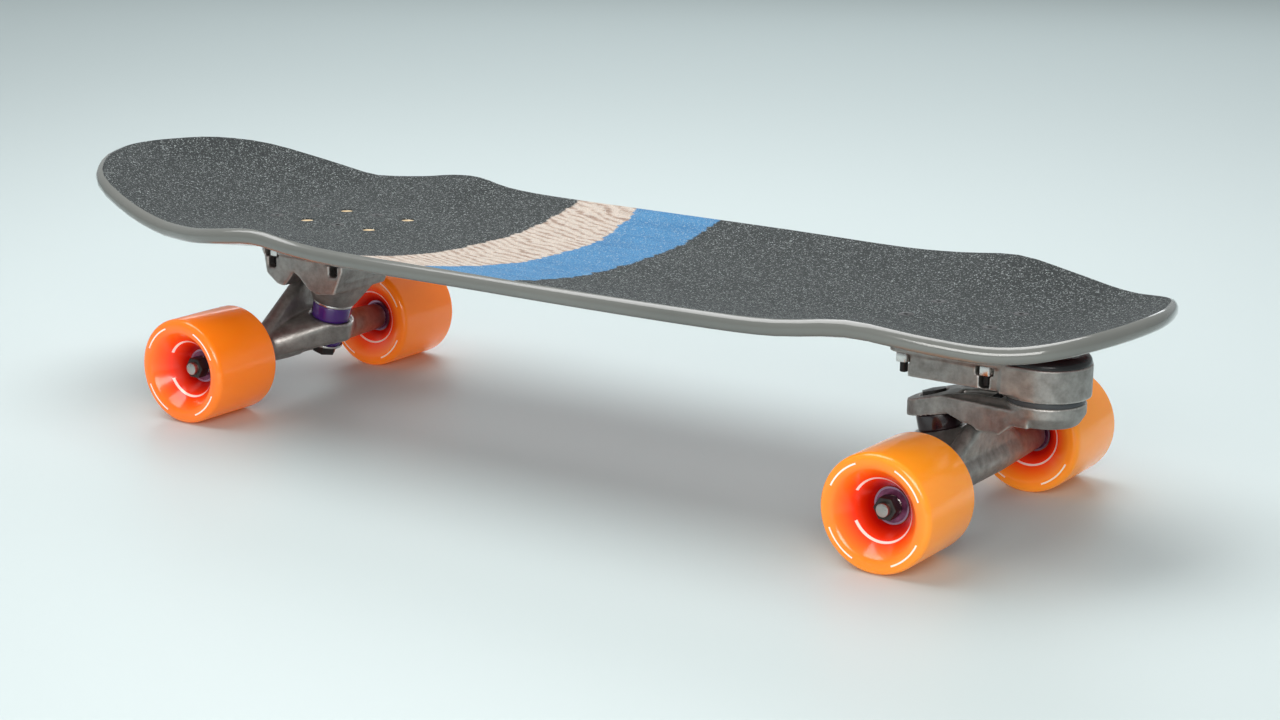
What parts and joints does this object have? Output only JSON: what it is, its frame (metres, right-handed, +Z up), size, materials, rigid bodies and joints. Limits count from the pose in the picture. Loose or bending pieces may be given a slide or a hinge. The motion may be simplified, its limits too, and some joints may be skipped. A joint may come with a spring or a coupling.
{
  "type": "surf skateboard",
  "caption": "Surf skateboard: concave deck with a kicked tail and a rounded rail, a sprung swing-arm truck at the nose, a low traditional truck at the tail and wide urethane wheels.",
  "frame": {"origin": "on the floor under the middle of the deck's length and width", "axes": "+X towards the nose, +Y to the rider's left when facing the nose, +Z up"},
  "size_m": [0.7888, 0.2558, 0.1561],
  "materials": {
    "wood": "clear varnish over pale bamboo laminate",
    "base_sheet": "glossy dark red composite sheet",
    "rail": "semi-gloss warm grey urethane",
    "grip": "coarse glass grit, charcoal with a cream and a blue stripe",
    "black_steel": "black oxide steel",
    "zinc_steel": "bright zinc-plated steel",
    "cast_alloy": "raw tumbled casting, grey-brown",
    "axle_steel": "bare hardened steel",
    "cup_urethane": "black urethane",
    "rear_bushing": "glossy deep purple urethane",
    "front_bushing": "dark maroon-black urethane",
    "cap_plastic": "glossy black moulding",
    "seal": "dark seal ring",
    "bronze": "sintered bronze",
    "spring_steel": "oiled spring steel",
    "wheel_urethane": "glossy translucent orange urethane",
    "wheel_core": "orange glass-filled nylon",
    "bearing_shield": "plum shields and bright outer rings",
    "race_steel": "ground bearing steel"
  },
  "bodies": {
    "deck": {"deck_core": "wood", "deck_base_sheet": "base_sheet", "deck_rail": "rail", "deck_grip": "grip", "rear_deck_bolts": "black_steel", "rear_deck_nuts": "zinc_steel", "front_deck_bolts": "black_steel", "front_deck_nuts": "zinc_steel", "rear_baseplate": "cast_alloy", "rear_pivot_cup": "cup_urethane", "rear_kingpin": "black_steel", "rear_kingpin_nut": "black_steel", "rear_cup_washers": "zinc_steel", "rear_upper_bushing": "rear_bushing", "rear_lower_bushing": "rear_bushing", "front_baseplate": "cast_alloy", "front_post": "axle_steel", "front_post_nut": "black_steel", "front_post_cap": "cap_plastic", "front_cap_screws": "zinc_steel"},
    "swing_arm": {"front_swing_arm": "cast_alloy", "front_arm_bushes": "bronze", "front_thrust_ring": "seal", "front_centring_spring": "spring_steel", "front_pivot_cup": "cup_urethane", "front_kingpin": "black_steel", "front_kingpin_nut": "black_steel", "front_cup_washers": "zinc_steel", "front_upper_bushing": "front_bushing", "front_lower_bushing": "front_bushing"},
    "rear_hanger": {"rear_hanger": "cast_alloy", "rear_axle": "axle_steel", "rear_axle_nuts": "black_steel", "rear_speed_washers": "zinc_steel", "rear_bearing_spacers": "zinc_steel", "rear_inner_races": "race_steel"},
    "front_hanger": {"front_hanger": "cast_alloy", "front_axle": "axle_steel", "front_axle_nuts": "black_steel", "front_speed_washers": "zinc_steel", "front_bearing_spacers": "zinc_steel", "front_inner_races": "race_steel"},
    "rear_near_wheel": {"rear_near_tyre": "wheel_urethane", "rear_near_core": "wheel_core", "rear_near_outer_races": "bearing_shield", "rear_near_balls": "race_steel"},
    "rear_far_wheel": {"rear_far_tyre": "wheel_urethane", "rear_far_core": "wheel_core", "rear_far_outer_races": "bearing_shield", "rear_far_balls": "race_steel"},
    "front_near_wheel": {"front_near_tyre": "wheel_urethane", "front_near_core": "wheel_core", "front_near_outer_races": "bearing_shield", "front_near_balls": "race_steel"},
    "front_far_wheel": {"front_far_tyre": "wheel_urethane", "front_far_core": "wheel_core", "front_far_outer_races": "bearing_shield", "front_far_balls": "race_steel"}
  },
  "joints": [
    {"name": "rear_steer", "type": "hinge", "parent": "deck", "child": "rear_hanger", "pos_m": [-0.2455, 0, 0.0845], "axis": [0.631, 0, -0.7758], "range_deg": [-12, 12], "stiffness_Nm_per_rad": 80, "deforming": ["rear_upper_bushing", "rear_lower_bushing"]},
    {"name": "arm_swing", "type": "hinge", "parent": "deck", "child": "swing_arm", "pos_m": [0.326, 0, 0.0738], "axis": [0, 0, 1], "range_deg": [-25, 25], "stiffness_Nm_per_rad": 15, "deforming": ["front_centring_spring"]},
    {"name": "front_steer", "type": "hinge", "parent": "swing_arm", "child": "front_hanger", "pos_m": [0.296, 0, 0.071], "axis": [-0.8247, 0, -0.5655], "range_deg": [-12, 12], "stiffness_Nm_per_rad": 80, "deforming": ["front_upper_bushing", "front_lower_bushing"]},
    {"name": "rear_near_spin", "type": "hinge", "parent": "rear_hanger", "child": "rear_near_wheel", "pos_m": [-0.237, -0.096, 0.035], "axis": [0, 1, 0], "continuous": true},
    {"name": "rear_far_spin", "type": "hinge", "parent": "rear_hanger", "child": "rear_far_wheel", "pos_m": [-0.237, 0.096, 0.035], "axis": [0, 1, 0], "continuous": true},
    {"name": "front_near_spin", "type": "hinge", "parent": "front_hanger", "child": "front_near_wheel", "pos_m": [0.283, -0.096, 0.035], "axis": [0, 1, 0], "continuous": true},
    {"name": "front_far_spin", "type": "hinge", "parent": "front_hanger", "child": "front_far_wheel", "pos_m": [0.283, 0.096, 0.035], "axis": [0, 1, 0], "continuous": true}
  ]
}
